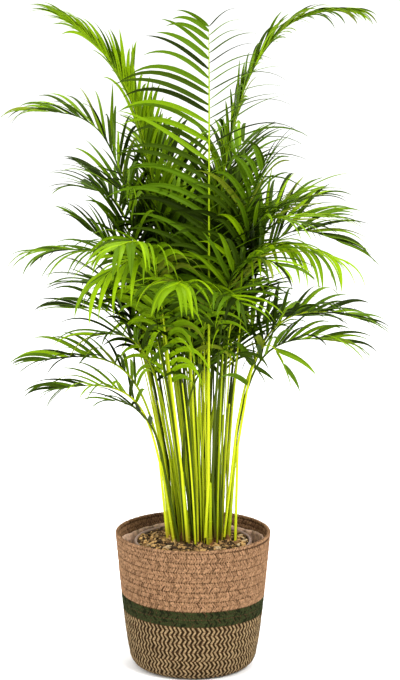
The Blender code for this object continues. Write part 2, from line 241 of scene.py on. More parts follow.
# A joint's bulge and the groove over it: size, how far it reaches, and its place
FIRST_JOINT = 0.016
JOINT_SPACING = (0.018, 0.034)
JOINT_BULGE = (0.00055, 0.0016, 0.0)
JOINT_GROOVE = (-0.00050, 0.0006, 0.0014)
JOINT_SECTIONS = (-0.003, -0.0014, -0.0006, 0.0, 0.0006, 0.0011, 0.0016, 0.0024, 0.004)

# Dry sheaths at the canes' feet
SHEATH_ROWS = 8
SHEATH_COLUMNS = 14
SHEATHS_PER_CANE = (1, 3)
SHEATH_HEIGHTS = (0.010, 0.036)
BROWN_SHARE = 0.5
SHEATH_SLANT = 0.45
SLANT_POWER = 1.5
SHEATH_FRAY = 0.25
SHEATH_SINK = 0.003
SHEATH_RADIUS = 0.0058
SHEATH_TAPER = 0.0011
SHEATH_FLARE = 0.0020
FLARE_POWER = 4
SHEATH_SPANS = (1.3, 2.6)
SHEATH_NARROWING = 0.35
SHEATH_SEED = 33

# Thin young shoots between the canes. Their lean is a share of the canes', and they bend outwards
SHOOT_COUNT = 46
SHOOT_RADII = (0.0012, 0.0022)
SHOOT_TOPS = (0.46, 0.74)
SHOOT_SPREAD = 0.92
SHOOT_LEAN = 0.9
SHOOT_BEND = (0.6, 0.7)
SHOOT_TAPER = 0.35
SHOOT_POINTS = 10
SHOOT_SEED = 39

# Stems' colours at the soil, up the stalk and out along the rib. The middle one has two of the
# four places on the way up
STEM_TONES = {
    "lime": ((0.320, 0.210, 0.035), (0.470, 0.530, 0.020), (0.290, 0.400, 0.012)),
    "green": ((0.220, 0.150, 0.024), (0.310, 0.380, 0.010), (0.110, 0.190, 0.006)),
    # The dark tone is painted shade, for stems that stand in shade inside the clump
    "dark": ((0.090, 0.055, 0.015), (0.060, 0.085, 0.006), (0.042, 0.080, 0.004)),
}
STEM_STOPS = (0.10, 0.17, 0.55, 1.0)
STEM_TONES_TOP = 0.80
STEM_ROUGHNESS = 0.38
STEM_SPECULAR = 0.08
STREAK_SCALE = 60.0
STREAK_STRETCH = (1.0, 1.0, 0.12)
STREAK_STRENGTH = 0.22
STREAK_BUMP = 0.3
STREAK_RELIEF = 0.0003
GREEN_RIB_SHARE = 0.40
# Share of ribs given the dark tone, which is painted shade
PAINTED_SHADE_RIB_SHARE = 0.30

# Fronds
STALK_RADIUS = 0.0026
TIP_RADIUS = 0.0009
TAPER_POWER = 1.5
STALK_SPREAD = 0.0034
STALK_LEAN = 3.0
STATIONS = 20
CURVE_SAMPLES = 200

# How crossing stalks are pushed apart
RELAX_ROUNDS = 160
RELAX_GAP = 0.0015
RELAX_PUSH = 0.0001
RELAX_SPREAD = 1.3
TINY = 1e-5
NEARLY_PARALLEL = 1e-12


class Frond(NamedTuple):
    """One frond: its node's name after frond_, its cane, where its tip is, and how it gets there.

    The tip is the given reach out from the cane's foot, along the heading, at the given height,
    and leans by tip_lean from upright. The stalk climbs by the upright share of its rise before
    it bends over, and pull is how far back the bend is felt, as a share of the way to the tip.
    The leaflets' length follows from the half width, and roll turns them about the rib.
    """

    name: str
    cane: int
    heading: float
    reach: float
    height: float
    tip_lean: float
    upright: float
    pull: float
    half_width: float
    roll: float = 0.0


FRONDS = (
    Frond("top_left", 1, 182, 0.277, 1.200, 66, 0.64, 0.30, 0.085, 20),
    Frond("top_centre", 10, 268, 0.100, 1.198, 14, 0.50, 0.30, 0.140),
    Frond("top_right", 0, 8, 0.305, 1.177, 100, 0.85, 0.28, 0.085, -20),
    Frond("high_left", 4, 176, 0.298, 1.008, 90, 1.00, 0.30, 0.100),
    Frond("left_back", 6, 164, 0.235, 0.905, 66, 0.95, 0.30, 0.120),
    Frond("left_upper", 4, 190, 0.225, 0.835, 66, 0.80, 0.30, 0.110),
    Frond("left_arch", 1, 184, 0.325, 0.763, 90, 1.10, 0.60, 0.110),
    Frond("left_front", 7, 222, 0.240, 0.725, 112, 1.30, 0.46, 0.120),
    Frond("left_mid", 9, 178, 0.257, 0.655, 88, 1.15, 0.55, 0.110),
    Frond("left_dark", 4, 210, 0.240, 0.622, 95, 1.10, 0.42, 0.100),
    Frond("low_left", 12, 188, 0.281, 0.570, 96, 1.20, 0.50, 0.095),
    Frond("low_left_front", 12, 200, 0.258, 0.530, 94, 1.10, 0.52, 0.085),
    Frond("sucker_left", 12, 206, 0.145, 0.512, 82, 0.80, 0.34, 0.055),
    Frond("right_upper_front", 5, 318, 0.135, 0.965, 32, 0.60, 0.30, 0.110),
    Frond("right_upper_back", 8, 30, 0.245, 0.845, 86, 0.95, 0.38, 0.110),
    Frond("right_upper", 8, 10, 0.252, 0.812, 92, 1.10, 0.42, 0.110),
    Frond("right_arch", 8, 0, 0.272, 0.745, 116, 1.35, 0.40, 0.110),
    Frond("right_front", 5, 335, 0.320, 0.742, 106, 1.35, 0.55, 0.115),
    Frond("right_low", 13, 4, 0.305, 0.613, 110, 1.40, 0.52, 0.110),
    Frond("low_right", 13, 352, 0.250, 0.598, 98, 1.15, 0.50, 0.095),
    Frond("sucker_right", 13, 330, 0.130, 0.534, 158, 2.10, 0.50, 0.060),
    Frond("front_arch", 7, 340, 0.138, 0.542, 165, 1.60, 0.32, 0.060),
)

# The rest of the crown, in tiers: prefix, canes, first heading, heading step,
# reach, height, height step, tip lean, upright, pull, half width
TIERS = (
    ("back_low", (3, 11, 11, 9), 40, 32, 0.300, 0.600, 0.020, 100, 1.15, 0.50, 0.110),
    ("back_mid", (3, 11, 6, 9), 58, 26, 0.300, 0.800, 0.015, 92, 1.00, 0.44, 0.110),
    ("back_high", (3, 6), 68, 46, 0.240, 0.955, 0.010, 74, 0.80, 0.32, 0.110),
    ("front_left", (7, 2), 238, 20, 0.270, 0.800, -0.070, 98, 1.05, 0.38, 0.110),
    ("front_right", (2, 10, 5), 290, 18, 0.250, 0.700, 0.060, 100, 1.10, 0.42, 0.105),
    ("inner", (0, 2, 1, 0), 40, 95, 0.145, 0.930, -0.020, 52, 0.80, 0.30, 0.095),
)
REACH_WAVE = 0.06
REACH_WAVE_STEP = 2.4

# Ribs: samples between two stations, sides, how far a stalk runs down its cane and splays from
# it, and how the rib thins towards its end
RIB_SAMPLES = 4
RIB_SIDES = 8
STALK_BASE_RADIUS = 0.0027
STALK_BASE_SHARE = (0.85, 1.0)
STALK_BASE_FLARE = 0.055
STALK_BASE_POINTS = 8
RIB_THIN_LENGTH = 0.12
RIB_THIN_SHARE = 0.55
RIB_END_RADIUS = 0.0004
RIB_TOP_FLATNESS = 0.75
RIB_SEED = 37

# Leaflets. Pairs of rows are places from base to tip, or along the rib, and the values there.
# The longest leaflet is a share of the blade's half width, and drifts are spreads of random draws
LEAFLET_ROWS = 12
LEAFLET_ACROSS = (-1.0, -0.55, 0.0, 0.55, 1.0)
LEAFLET_OUTLINE = (
    (0.0, 0.08, 0.20, 0.45, 0.75, 0.92, 1.0),
    (0.34, 0.80, 1.0, 0.92, 0.55, 0.20, 0.02),
)
LEAFLET_FOLD = ((0.0, 0.25, 1.0), (34.0, 24.0, 6.0))
LEAFLET_CUP = 0.9
LEAFLET_SWAY = 0.12
LEAFLET_TWIST = 0.35
LEAFLET_CREASE = 20.0
DROOP_GROWTH = 1.6
DROOP_START = 0.15
LEAFLET_SPACING = 0.0155
LEAFLET_STAGGER = 0.35
LEAF_PLACE_DRIFT = 0.0015
FEWEST_PAIRS = 4
ANGLE_PLACES = (0.0, 0.75, 1.0)
CLOSING_LEAD = 12.0
ANGLE_DRIFT = 2.5
LIFT_DRIFT = 5.0
LEAFLET_LENGTH = 1.48
# The last length is the plume's own tip share
LEAFLET_LENGTHS = ((0.0, 0.15, 0.45, 0.75, 1.0), (0.72, 0.92, 1.0, 0.86))
LENGTH_DRIFT = 0.05
LEAFLET_WIDTH = 0.0102
LEAFLET_WIDTHS = ((0.0, 0.3, 1.0), (0.75, 1.0, 0.9))
LEAF_WIDTH_DRIFT = 0.08
DROOP_DRIFT = 0.2
LEAST_DROOP = 0.2
LEAF_SEED = 41
LEAF_SPECULAR = 0.06

# Leaflet tints: linear base colour and roughness
# The tints are partly the leaves' own colours, partly painted light and shade given out by the
# plumes
LEAF_TINTS = {
    "lime": ((0.205, 0.325, 0.004), 0.46),
    "fresh": ((0.138, 0.230, 0.004), 0.46),
    "mid": ((0.078, 0.142, 0.004), 0.50),
    "deep": ((0.040, 0.070, 0.003), 0.55),
    "dark": ((0.018, 0.031, 0.002), 0.60),
    "olive": ((0.150, 0.190, 0.014), 0.52),
}


class Plume(NamedTuple):
    """How a frond's leaflets grow: shares of the six tints, and how they leave the rib.

    They start at a share of the frond's length, and end a distance short of its tip. Edge_on is
    how far the leaflets on either side are turned about their own length, and tip is the last
    leaflets' share of the longest one's length. Rib names the stem colour, where it is set.
    """

    tints: tuple = (0.09, 0.23, 0.29, 0.22, 0.12, 0.05)
    length: float = 1.0
    start: float = 0.38
    droop: float = 1.15
    lift: float = 26.0
    open_angle: float = 56.0
    close_angle: float = 22.0
    spacing: float = 1.0
    width: float = 1.0
    end: float = 0.075
    edge_on: tuple = (0.0, 0.0)
    tip: float = 0.58
    rib: str = ""


# Tint mixes: the first two are painted light on lit fronds, the last painted shade on inner ones
BRIGHTLY_LIT = (0.52, 0.34, 0.10, 0.00, 0.00, 0.04)
SUNNY = (0.22, 0.40, 0.26, 0.08, 0.00, 0.04)
GREEN = (0.00, 0.14, 0.44, 0.34, 0.06, 0.02)
SHADED = (0.02, 0.10, 0.28, 0.34, 0.23, 0.03)

# Plumes of single fronds and, without a number, of whole tiers
PLUMES = {
    "top_left": Plume(BRIGHTLY_LIT, 1.12, 0.32, 1.15, 16, 36, 14, spacing=0.62, width=1.1),
    "top_centre": Plume(
        GREEN, 0.90, 0.36, 1.45, 8, 54, 46, end=0.03, edge_on=(72.0, 0.0), tip=0.34, rib="lime"
    ),
    "top_right": Plume(
        SUNNY, 1.0, 0.30, 1.7, 12, 38, 14, spacing=0.55, width=1.1, end=0.055, tip=0.5
    ),
    "high_left": Plume(droop=1.5, end=0.05),
    "left_upper": Plume(SHADED),
    "left_arch": Plume(length=0.85, droop=1.7, lift=12, end=0.06),
    "left_front": Plume(BRIGHTLY_LIT, 0.9, 0.30, 3.2, 0, spacing=0.9, width=1.2, end=0.05),
    "left_mid": Plume(SHADED, droop=1.5),
    "left_dark": Plume(SHADED, droop=1.5),
    "low_left": Plume(droop=1.5, end=0.05),
    "low_left_front": Plume(droop=1.6, end=0.05),
    "sucker_left": Plume(SHADED, 1.4, droop=1.0, lift=8, spacing=2.4, width=1.3, end=0.03),
    "right_upper_front": Plume(SHADED, droop=1.4, close_angle=34, end=0.045, width=1.1),
    "right_front": Plume(BRIGHTLY_LIT, 0.8, 0.34, 3.2, 0, end=0.10),
    "right_low": Plume(SHADED, 0.9, droop=1.5, end=0.08),
    "low_right": Plume(droop=1.6, end=0.05),
    "sucker_right": Plume(SUNNY, 1.15, droop=1.6, spacing=2.0, width=1.3, end=0.04),
    "front_arch": Plume(GREEN, 0.9, 0.55, droop=2.4, spacing=3.2, width=1.2, end=0.03),
    "front_left": Plume(SUNNY, 0.85, 0.44, 2.6, 2, width=1.15, end=0.06),
    "front_right": Plume(length=0.9, start=0.48, droop=1.2, lift=14, end=0.06),
    "inner": Plume(SHADED, start=0.30, spacing=0.85),
    "back_high": Plume(SHADED, start=0.32, spacing=0.85),
    "back_mid": Plume(SHADED, start=0.32, spacing=0.85),
    "back_low": Plume(SHADED, start=0.34, spacing=0.85),
}


def new_material(name, roughness, specular):
    """A node material with its shader, whose constant values are set on its own sockets."""
    material = bpy.data.materials.new(name)
    material.use_nodes = True
    shader = material.node_tree.nodes["Principled BSDF"]
    shader.inputs["Roughness"].default_value = roughness
    shader.inputs["Specular IOR Level"].default_value = specular
    return material, material.node_tree, shader


def plain_material(name, colour, roughness, specular):
    material, _, shader = new_material(name, roughness, specular)
    shader.inputs["Base Color"].default_value = (*colour, 1.0)
    return material


def add_node(tree, kind, inputs):
    """A node whose inputs are set to values or linked to other nodes' sockets."""
    node = tree.nodes.new("ShaderNode" + kind)
    for key, value in inputs.items():
        if isinstance(value, bpy.types.NodeSocket):
            tree.links.new(value, node.inputs[key])
        else:
            node.inputs[key].default_value = value
    return node


def add_noise(tree, scale, stretch=(1.0, 1.0, 1.0)):
    """Noise in the object's own coordinates."""
    place = add_node(tree, "TexCoord", {}).outputs["Object"]
    mapped = add_node(tree, "Mapping", {"Vector": place, "Scale": stretch}).outputs["Vector"]
    inputs = {"Vector": mapped, "Scale": scale, "Detail": NOISE_DETAIL}
    return add_node(tree, "TexNoise", inputs).outputs["Fac"]


def add_ramp(tree, shader, value, places, colours):
    """Colours the shader by a value, with each colour at its place."""
    ramp = add_node(tree, "ValToRGB", {"Fac": value})
    elements = ramp.color_ramp.elements
    while len(elements) < len(places):
        elements.new(0.5)
    for element, place, colour in zip(elements, places, colours):
        element.position = place
        element.color = (*colour, 1.0)
    tree.links.new(ramp.outputs["Color"], shader.inputs["Base Color"])


def add_bump(tree, shader, value, strength, distance):
    bump = add_node(tree, "Bump", {"Height": value, "Strength": strength, "Distance": distance})
    tree.links.new(bump.outputs["Normal"], shader.inputs["Normal"])


def mottled_material(name, grain):
    """One colour, broken up by fine fibres or grain that also lift the surface."""
    material, tree, shader = new_material(name, grain.roughness, grain.specular)
    noise = add_noise(tree, grain.scale)
    shades = np.outer((1 - grain.contrast, 1, 1 + grain.contrast), grain.colour)
    add_ramp(tree, shader, noise, GRAIN_STOPS, shades)
    add_bump(tree, shader, noise, grain.bump, grain.relief)
    return material


def stem_material(name, low, middle, high):
    """Stems change colour with height: from the soil, up the cane and out along the rib."""
    material, tree, shader = new_material(name, STEM_ROUGHNESS, STEM_SPECULAR)
    place = add_node(tree, "TexCoord", {}).outputs["Object"]
    upward = add_node(tree, "SeparateXYZ", {"Vector": place}).outputs["Z"]
    limits = {"Value": upward, "From Min": SOIL_TOP, "From Max": STEM_TONES_TOP}
    height = add_node(tree, "MapRange", limits).outputs["Result"]
    streak = add_noise(tree, STREAK_SCALE, STREAK_STRETCH)
    mixed = add_node(tree, "Math", {1: STREAK_STRENGTH})
    mixed.operation = "MULTIPLY_ADD"
    tree.links.new(streak, mixed.inputs[0])
    tree.links.new(height, mixed.inputs[2])
    add_ramp(tree, shader, mixed.outputs["Value"], STEM_STOPS, (low, middle, middle, high))
    add_bump(tree, shader, streak, STREAK_BUMP, STREAK_RELIEF)
    return material


def grid_faces(points, around=False):
    """Quads of a grid of points, or of a number of equal grids, one after another."""
    rows, columns = points.shape[-3:-1]
    row, column = np.mgrid[0 : rows - 1, 0 : columns if around else columns - 1]
    low = row * columns + column
    side = row * columns + (column + 1) % columns
    quad = np.stack((low, side, side + columns, low + columns), axis=-1).reshape(1, -1, 4)
    first = np.arange(0, points.size // 3, rows * columns)
    return (quad + first[:, None, None]).reshape(-1, 4)


def add_object(name, data):
    item = bpy.data.objects.new(name, data)
    bpy.context.scene.collection.objects.link(item)
    return item


def add_piece(name, points, faces, material, replaced=(), crease=None):
    """A mesh piece that rides on the body and takes the given material."""
    mesh = bpy.data.meshes.new(name)
    mesh.from_pydata(np.asarray(points).reshape(-1, 3).tolist(), [], np.asarray(faces).tolist())
    mesh.shade_smooth()
    if crease is not None:
        mesh.set_sharp_from_angle(angle=math.radians(crease))
    mesh.materials.append(material)
    piece = add_object(name, mesh)
    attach(piece, BODY)
    if replaced:
        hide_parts(*replaced)
    return piece


def unit(vectors):
    return vectors / np.linalg.norm(vectors, axis=-1, keepdims=True)


def distances(points):
    """How far along a line of points each one is."""
    return np.concatenate(([0.0], np.linalg.norm(np.diff(points, axis=0), axis=1).cumsum()))


def values_at(places, run, values):
    """Rows of values, read between the places on a run where they are known."""
    return np.stack([np.interp(places, run, column) for column in values.T], axis=1)


def circle(steps):
    return np.linspace(0, FULL_TURN, steps, endpoint=False)


def round_points(radius, turn, height):
    """Points this far from the upright axis, this far round it and this high."""
    x, y, z = np.broadcast_arrays(radius * np.cos(turn), radius * np.sin(turn), height)
    return np.stack((x, y, z), axis=-1)


def turned(radii, heights):
    """Points of a surface of revolution, one ring for each point of the profile."""
    turn = circle(ROUND_STEPS)
    return round_points(np.asarray(radii)[:, None], turn, np.asarray(heights)[:, None])


def tube(middles, radii, side, top, sides, flatness=1.0):
    """Rings of points round a line, from its two cross directions. Its top half may be flatter."""
    turn = circle(sides)[:, None]
    rise = np.sin(turn) * np.where(np.sin(turn) > 0, flatness, 1.0)
    ring = side[..., None, :] * np.cos(turn) + top[..., None, :] * rise
    return middles[:, None] + ring * radii[:, None, None]


def add_stems(kind, stems):
    """Stems joined by colour. Each is given as its colour, its rings of points and its node."""
    for colour, tones in STEM_TONES.items():
        points, faces, nodes, total = [], [], [], 0
        for name, rings, node in stems:
            if name != colour:
                continue
            points.append(rings.reshape(-1, 3))
            faces.append(grid_faces(rings, around=True) + total)
            nodes += [node] if node else []
            total += len(points[-1])
        points, faces = np.concatenate(points), np.concatenate(faces)
        material = stem_material(f"{colour}_{kind}", *tones)
        add_piece(f"palm_{colour}_{kind}s", points, faces, material, nodes)


def basket_radius(height):
    """Outer radius of the basket wall at this height."""
    if height >= CORNER_HEIGHT:
        share = (height - CORNER_HEIGHT) / (BASKET_HEIGHT - CORNER_HEIGHT)
        return CORNER_RADIUS_TOP + (RIM_RADIUS - CORNER_RADIUS_TOP) * share**WALL_BULGE
    turn = math.acos(1 - height / CORNER_HEIGHT)
    return FOOT_RADIUS + (CORNER_RADIUS_TOP - FOOT_RADIUS) * math.sin(turn)


class Skin:
    """The basket's surface along its profile: under the foot, up the wall, over the rim, inside.

    A place on it is its distance along the profile from the middle of the underside.
    """

    def __init__(self):
        bend = WALL_THICKNESS / 2
        shoulder = BASKET_HEIGHT - bend
        corner = CORNER_HEIGHT * (1 - np.cos(np.linspace(0, math.pi / 2, CORNER_SAMPLES)))
        wall = np.linspace(CORNER_HEIGHT, shoulder, WALL_SAMPLES)[1:]
        rim = np.linspace(0, math.pi, RIM_SAMPLES)[1:-1]
        rim_middle = basket_radius(shoulder) - bend
        points = [(0.0, 0.0), (FOOT_RADIUS / 2, 0.0)]
        points += [(basket_radius(z), z) for z in (*corner, *wall)]
        points += [(rim_middle + bend * math.cos(a), shoulder + bend * math.sin(a)) for a in rim]
        points += [(basket_radius(z) - WALL_THICKNESS, z) for z in wall[::-1]]
        points += [(CORNER_RADIUS_TOP - WALL_THICKNESS, CORNER_HEIGHT)]
        points += [(FOOT_RADIUS, FLOOR_THICKNESS), (0.0, FLOOR_THICKNESS)]
        points = np.array(points)
        run = distances(points)
        self.run = np.arange(0, run[-1], PROFILE_STEP)
        self.points = values_at(self.run, run, points)
        along = unit(np.gradient(self.points, axis=0))
        self.normals = np.stack((along[:, 1], -along[:, 0]), axis=1)
        self.outside = self.run[self.points[:, 1].argmax()]

    def place_of_height(self, height, inside=False):
        """Distance along the profile to a height on the outside or the inside of the wall."""
        part = (self.run > self.outside) if inside else (self.run <= self.outside)
        part &= self.points[:, 0] > FOOT_RADIUS
        heights, runs = self.points[part, 1], self.run[part]
        order = np.argsort(heights)
        return float(np.interp(height, heights[order], runs[order]))

    def at(self, run, depth):
        """Radius and height of points this far along the profile and this deep under the skin."""
        radius, height, across, up = (
            np.interp(run, self.run, column) for column in (*self.points.T, *self.normals.T)
        )
        return radius - across * depth, height - up * depth


def braid(skin, rng, low, high, share):
    """Strands of braid as grids of points, two half chevrons for each place along a row.

    low and high are the row's two seams, as distances along the profile, at each place. share is
    how far round from the front that place is, from -0.5 at the back to 0.5. A strand runs from
    the middle of the row to a seam, and dips under its neighbours at both ends.
    """
    low, high, share = (np.repeat(values, 2)[:, None, None] for values in (low, high, share))
    upper = np.where(np.arange(len(low)) % 2, 1.0, -1.0)[:, None, None]
    drift = rng.normal(0, 1, (4, len(low), 1, 1))
    along = np.linspace(0, 1, STRAND_ROWS)[None, :, None]
    across = np.array(STRAND_ACROSS)[None, None, :]
    lean = BRAID_LEAN * (1 + LEAN_DRIFT * drift[0])
    half = (high - low) / 2
    length = np.hypot(lean, half)
    taper = 1 - STRAND_TAPER * (2 * along - 1) ** 2
    belly = STRAND_WIDTH / 2 * (1 + WIDTH_DRIFT * drift[1]) * taper
    arc = lean * (0.5 - along) + across * belly * half / length + PLACE_DRIFT * drift[2]
    run = (low + high) / 2 + upper * (half * along + across * belly * lean / length)
    dome = np.interp(along, *STRAND_DOME) * (1 + HEIGHT_DRIFT * drift[3])
    depth = RELIEF * (1 - np.sqrt(1 - across**2) * dome.clip(0, 1))
    radius, height = skin.at(run, depth)
    middle_radius, _ = skin.at((low + high) / 2, 0.0)
    turn = math.radians(FRONT) + FULL_TURN * share + arc / middle_radius
    strands = round_points(radius, turn, height)
    lower = upper[:, 0, 0] < 0
    strands[lower] = strands[lower, :, ::-1]
    return strands


def basket_seams(skin):
    """Where the seams lie at the front, bottom up, and the first rows of the band and above it.

    There is one seam more at either end, past the middle of the underside and past the rim row.
    """
    band_bottom = skin.place_of_height(BAND_BOTTOM)
    band_top = skin.place_of_height(BAND_TOP)
    rim = skin.place_of_height(RIM_ROW_BOTTOM)
    lower = np.arange(band_bottom, 0, -LOWER_ROW)[::-1]
    band = np.linspace(band_bottom, band_top, BAND_ROWS + 1)[1:]
    upper = np.arange(band_top + UPPER_ROW, rim, UPPER_ROW)
    below, above = lower[0] - LOWER_ROW, upper[-1] + UPPER_ROW
    seams = np.concatenate(((below,), lower, band, upper, (above,)))
    return seams, len(lower) - 1, len(lower) - 1 + BAND_ROWS


def coil(skin, rng):
    """The coil's strands, and for each one the basket node it belongs to and its place in its row.

    A row climbs by its own width in each turn, so at the back every seam meets the next one.
    """
    seams, band_row, upper_row = basket_seams(skin)
    rim = skin.place_of_height(RIM_ROW_BOTTOM)
    numbers = np.arange(len(seams)) - 1
    found = []
    for row in numbers[1:]:
        radius, _ = skin.at(np.interp(row, numbers, seams), 0.0)
        count = 2 * max(MIN_PAIRS, round(BRAID_PAIRS * min(1.0, radius / CORNER_RADIUS_TOP)))
        turn = (np.arange(count) + 0.5) / count - 0.5
        bottom = np.interp(row - turn, numbers, seams).clip(0, rim)
        top = np.interp(row + 1 - turn, numbers, seams).clip(0, rim)
        columns = np.stack((bottom, top, turn, np.full(count, row), np.arange(count)))
        found.append(columns[:, top - bottom > NARROWEST_ROW])
    low, high, share, rows, places = np.concatenate(found, axis=1)
    strands = braid(skin, rng, low, high, share)
    bands = np.digitize(rows, (band_row, upper_row))
    nodes = np.array(list(BANDS))[bands]
    return strands, np.repeat(nodes, 2), np.repeat(places, 2)


def rim_and_inside_rows(skin, rng):
    """Level rows of braid over the rim and down the inside."""
    outer = skin.place_of_height(RIM_ROW_BOTTOM)
    inner = skin.place_of_height(RIM_ROW_BOTTOM, inside=True)
    seams = np.concatenate(((outer,), inner + UPPER_ROW * np.arange(INSIDE_ROWS + 1)))
    count = 2 * BRAID_PAIRS
    share = np.tile((np.arange(count) + 0.5) / count - 0.5, len(seams) - 1)
    return braid(skin, rng, np.repeat(seams[:-1], count), np.repeat(seams[1:], count), share)


def add_basket():
    """The braid in its three bands of colour, on a dark backing: painted shade between the strands.
    """
    skin = Skin()
    rng = np.random.default_rng(BASKET_SEED)
    backing = turned(*skin.at(skin.run[::BACKING_STRIDE], BACKING_DEPTH))
    # The backing's dark colour is painted shade where it shows between the strands
    dark = mottled_material("painted_seam_shade", SEAM_SHADE)
    add_piece("basket_backing", backing, grid_faces(backing, around=True), dark)

    strands, nodes, places = coil(skin, rng)
    zigzag = nodes == "basket_lower"
    pick = np.where(zigzag, (places % 2) / 2, rng.random(len(strands)))
    inside = rim_and_inside_rows(skin, rng)
    strands = np.concatenate((strands, inside))
    pick = np.concatenate((pick, rng.random(len(inside))))
    nodes = np.concatenate((nodes, np.full(len(inside), "basket_upper")))
    for name, (node, first, last, colour) in STRANDS.items():
        chosen = strands[(nodes == node) & (pick >= first) & (pick < last)]
        faces = grid_faces(chosen)
        slot, scale, contrast = BANDS[node]
        grain = Grain(colour, scale, STRAND_ROUGHNESS, contrast, specular=STRAND_SPECULAR)
        material = mottled_material(f"{name}_strand", grain)
        replaced = (node,) if first == 0 else ()
        add_piece(f"basket_{name}_strands", chosen, faces, material, replaced)


def ripple(rng, count, lowest, highest):
    """A smooth random function of an angle and a length, between about -1 and 1."""
    waves = rng.integers(lowest, highest, count)
    slopes = rng.uniform(-1, 1, count) * RIPPLE_SLOPE
    phases = rng.uniform(0, FULL_TURN, count)

    def value(turn, length):
        total = sum(np.cos(w * turn + s * length + p) for w, s, p in zip(waves, slopes, phases))
        return total / math.sqrt(count)

    return value


def add_lining():
    """A thin plastic film, crumpled against the inside of the wall."""
    rng = np.random.default_rng(LINING_SEED)
    crease = ripple(rng, *LINING_CREASES)
    edge = ripple(rng, *LINING_EDGE_WAVES)
    turn = circle(LINING_STEPS)[None, :]
    share = np.linspace(0, 1, LINING_ROWS)[:, None]
    top = LINING_TOP + LINING_EDGE_WAVE * edge(turn, 0.0)
    height = LINING_BOTTOM + (top - LINING_BOTTOM) * share
    wall = np.vectorize(basket_radius)(height) - WALL_THICKNESS - LINING_GAP
    inner = wall - LINING_CREASE * (1 + crease(turn, height)) * share
    surface = np.concatenate((inner + LINING_FILM, inner[::-1]))
    points = round_points(surface, turn, np.concatenate((height, height[::-1])))
    film = mottled_material("lining_film", FILM)
    add_piece("basket_lining", points, grid_faces(points, around=True), film)


def add_pot():
    """The nursery pot, with a rolled lip."""
    foot = FLOOR_THICKNESS + CLEARANCE
    lip = POT_LIP / 2
    wall_top = POT_TOP - POT_LIP
    wall_radius = POT_TOP_RADIUS - POT_THICKNESS
    profile = [(0.0, foot), (POT_FOOT_RADIUS - POT_FOOT_BEVEL, foot)]
    profile += [(POT_FOOT_RADIUS, foot + POT_FOOT_BEVEL)]
    profile += [(wall_radius - POT_STEP_DEPTH, wall_top - POT_STEP_HEIGHT), (wall_radius, wall_top)]
    for turn in np.linspace(-math.pi / 2, math.pi, POT_LIP_POINTS):
        reach = POT_TOP_RADIUS - lip + lip * math.cos(turn)
        profile.append((reach, POT_TOP - lip + lip * math.sin(turn)))
    profile += [(wall_radius - POT_THICKNESS, wall_top)]
    inside = foot + POT_THICKNESS
    profile += [(POT_FOOT_RADIUS - POT_THICKNESS, inside), (0.0, inside)]
    points = turned(*np.array(profile).T)
    faces = grid_faces(points, around=True)
    taupe = mottled_material("pot_plastic", TAUPE_PLASTIC)
    add_piece("pot_shell", points, faces, taupe, ["nursery_pot"], POT_CREASE)


def soil_height(x, y):
    """Height of the soil's surface: a low mound with lumps."""
    rng = np.random.default_rng(SOIL_SEED)
    reach = np.hypot(x, y) / POT_TOP_RADIUS
    bumps = np.zeros_like(x)
    for wavelength, height in SOIL_BUMPS:
        for _ in range(WAVES_PER_BUMP):
            heading, phase = rng.uniform(0, FULL_TURN, 2)
            across = x * math.cos(heading) + y * math.sin(heading)
            bumps = bumps + height * np.cos(FULL_TURN * across / wavelength + phase)
    return SOIL_TOP - SOIL_SINK + SOIL_MOUND * (1 - reach**2) + bumps


def add_soil():
    """The root ball, with a lumpy top, and the chips on it."""
    edge = POT_TOP_RADIUS - 2 * POT_THICKNESS - CLEARANCE
    foot = FLOOR_THICKNESS + POT_THICKNESS + 2 * CLEARANCE
    inset, drop = SOIL_SHOULDER
    side_radii = (edge - inset, POT_FOOT_RADIUS - POT_FOOT_BEVEL, 0.0)
    radii = np.concatenate((np.linspace(0, edge, SOIL_RINGS), side_radii))
    heights = np.concatenate((np.zeros(SOIL_RINGS), (SOIL_TOP - drop, foot, foot)))
    points = turned(radii, heights)[::-1]
    top = points[-SOIL_RINGS:]
    top[..., 2] = soil_height(top[..., 0], top[..., 1])
    grain = mottled_material("soil_grain", SOIL)
    add_piece("soil_ball", points, grid_faces(points, around=True), grain, ["soil"])
    add_chips(edge - CHIP_MARGIN)


def add_chips(limit):
    """Bark and coir chips strewn over the soil up to a radius, and one long pale chip."""
    rng = np.random.default_rng(CHIP_SEED)
    reach = limit * np.sqrt(rng.random(CHIP_COUNT))
    turn = rng.uniform(0, FULL_TURN, CHIP_COUNT)
    middle = round_points(reach, turn, 0.0)
    middle[:, 2] = soil_height(middle[:, 0], middle[:, 1]) + rng.uniform(0, CHIP_RISE, CHIP_COUNT)
    length = rng.uniform(*CHIP_LENGTHS, CHIP_COUNT) * rng.choice(CHIP_STRETCHES, CHIP_COUNT)
    width = length * rng.uniform(*CHIP_WIDTHS, CHIP_COUNT)
    height = length * rng.uniform(*CHIP_HEIGHTS, CHIP_COUNT)
    chips = chip_points(rng, middle, np.stack((length, width, height), axis=-1))
    pick = rng.random(CHIP_COUNT)
    first = 0.0
    for name, (share, colour) in CHIPS.items():
        chosen = chips[(pick >= first) & (pick < first + share)]
        first += share
        if name == "pale":
            long_chip = chip_points(rng, np.array([LONG_CHIP_PLACE]), np.array([LONG_CHIP_SIZE]))
            chosen = np.concatenate((chosen, long_chip))
        faces = (CHIP_FACES + CHIP_CORNERS * np.arange(len(chosen))[:, None, None]).reshape(-1, 4)
        material = mottled_material(f"{name}_chip", Grain(colour, *CHIP_GRAIN))
        piece = add_piece(f"soil_{name}_chips", chosen, faces, material)
        piece.data.shade_flat()


def spun(first, second, angles):
    """Two coordinates of each item's points, turned by that item's angle."""
    cosine, sine = np.cos(angles)[:, None], np.sin(angles)[:, None]
    return first * cosine - second * sine, first * sine + second * cosine


